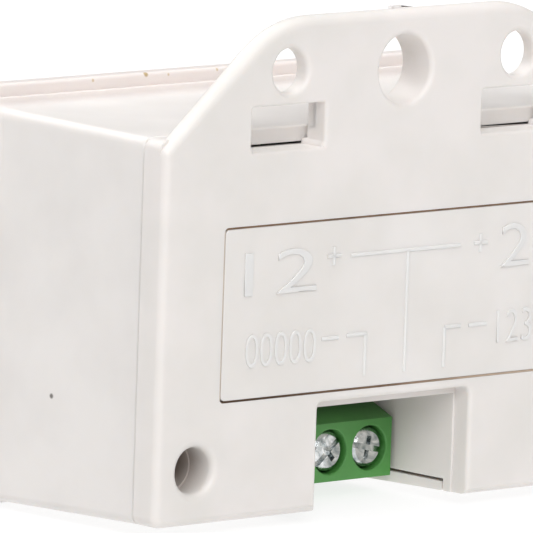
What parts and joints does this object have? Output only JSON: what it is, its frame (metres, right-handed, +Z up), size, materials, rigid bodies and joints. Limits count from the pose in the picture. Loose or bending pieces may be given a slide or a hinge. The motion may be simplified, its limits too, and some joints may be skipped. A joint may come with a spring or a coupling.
{
  "type": "panel counter",
  "caption": "Small battery counter in a white moulded case with a drilled back flange, a display window, a reset button and a screw terminal block in a rear notch.",
  "frame": {"origin": "bottom centre of the bounding box", "axes": "+Z up; +Y out of the flanged back cover; the display faces -Y; +X to the right as the display is read"},
  "size_m": [0.064, 0.0298, 0.0481],
  "materials": {
    "case_plastic": "fine satin",
    "window_plastic": "clear polished",
    "display_glass": "grey-green display",
    "contact_rubber": "matt",
    "board_laminate": "lacquered",
    "black_plastic": "satin",
    "button_plastic": "satin",
    "terminal_plastic": "semi-gloss",
    "cell_jacket": "plain printed sleeve",
    "zinc_steel": "bright zinc plated",
    "dark_steel": "dark plated",
    "clamp_brass": "plain",
    "tinned_brass": "tin plated"
  },
  "bodies": {
    "case": {"rear_cover": "case_plastic", "main_housing": "case_plastic", "display_window": "window_plastic", "lcd_glass": "display_glass", "connector_strip_lower": "contact_rubber", "connector_strip_upper": "contact_rubber", "circuit_board": "board_laminate", "counter_chip": "black_plastic", "reset_switch": "black_plastic", "terminal_block": "terminal_plastic", "battery_cell": "cell_jacket", "battery_spring": "zinc_steel", "positive_contact": "zinc_steel", "negative_contact": "zinc_steel", "cover_screw_left": "dark_steel", "cover_screw_right": "dark_steel", "board_screw_1": "zinc_steel", "board_screw_2": "zinc_steel", "board_screw_3": "zinc_steel", "board_screw_4": "zinc_steel", "contact_pin_1": "tinned_brass", "contact_pin_2": "tinned_brass", "contact_pin_3": "tinned_brass"},
    "battery_cover": {"battery_cover": "case_plastic"},
    "reset_button": {"reset_button": "button_plastic", "switch_plunger": "black_plastic"},
    "terminal_screw_1": {"terminal_screw_1": "zinc_steel"},
    "wire_cage_1": {"wire_cage_1": "clamp_brass"},
    "terminal_screw_2": {"terminal_screw_2": "zinc_steel"},
    "wire_cage_2": {"wire_cage_2": "clamp_brass"},
    "terminal_screw_3": {"terminal_screw_3": "zinc_steel"},
    "wire_cage_3": {"wire_cage_3": "clamp_brass"}
  },
  "joints": [
    {"name": "battery_cover_pull", "type": "slide", "parent": "case", "child": "battery_cover", "axis": [0, 1, 0], "range_m": [0, 0.012]},
    {"name": "reset_press", "type": "slide", "parent": "case", "child": "reset_button", "axis": [0, 1, 0], "range_m": [0, 0.0004], "stiffness_N_per_m": 2000, "springref_m": -0.0004},
    {"name": "clamp_turn_1", "type": "hinge", "parent": "case", "child": "terminal_screw_1", "pos_m": [0.00406, 0.0048, 0.0046], "axis": [0, -1, 0], "range_deg": [0, 1440]},
    {"name": "cage_rise_1", "type": "slide", "parent": "case", "child": "wire_cage_1", "axis": [0, 1, 0], "range_m": [0, 0.0018]},
    {"name": "clamp_turn_2", "type": "hinge", "parent": "case", "child": "terminal_screw_2", "pos_m": [-0.00102, 0.0048, 0.0046], "axis": [0, -1, 0], "range_deg": [0, 1440]},
    {"name": "cage_rise_2", "type": "slide", "parent": "case", "child": "wire_cage_2", "axis": [0, 1, 0], "range_m": [0, 0.0018]},
    {"name": "clamp_turn_3", "type": "hinge", "parent": "case", "child": "terminal_screw_3", "pos_m": [-0.0061, 0.0048, 0.0046], "axis": [0, -1, 0], "range_deg": [0, 1440]},
    {"name": "cage_rise_3", "type": "slide", "parent": "case", "child": "wire_cage_3", "axis": [0, 1, 0], "range_m": [0, 0.0018]}
  ],
  "couplings": [
    {"joint": "clamp_turn_1", "follows": "cage_rise_1", "rad_per_m": 13963},
    {"joint": "clamp_turn_2", "follows": "cage_rise_2", "rad_per_m": 13963},
    {"joint": "clamp_turn_3", "follows": "cage_rise_3", "rad_per_m": 13963}
  ]
}
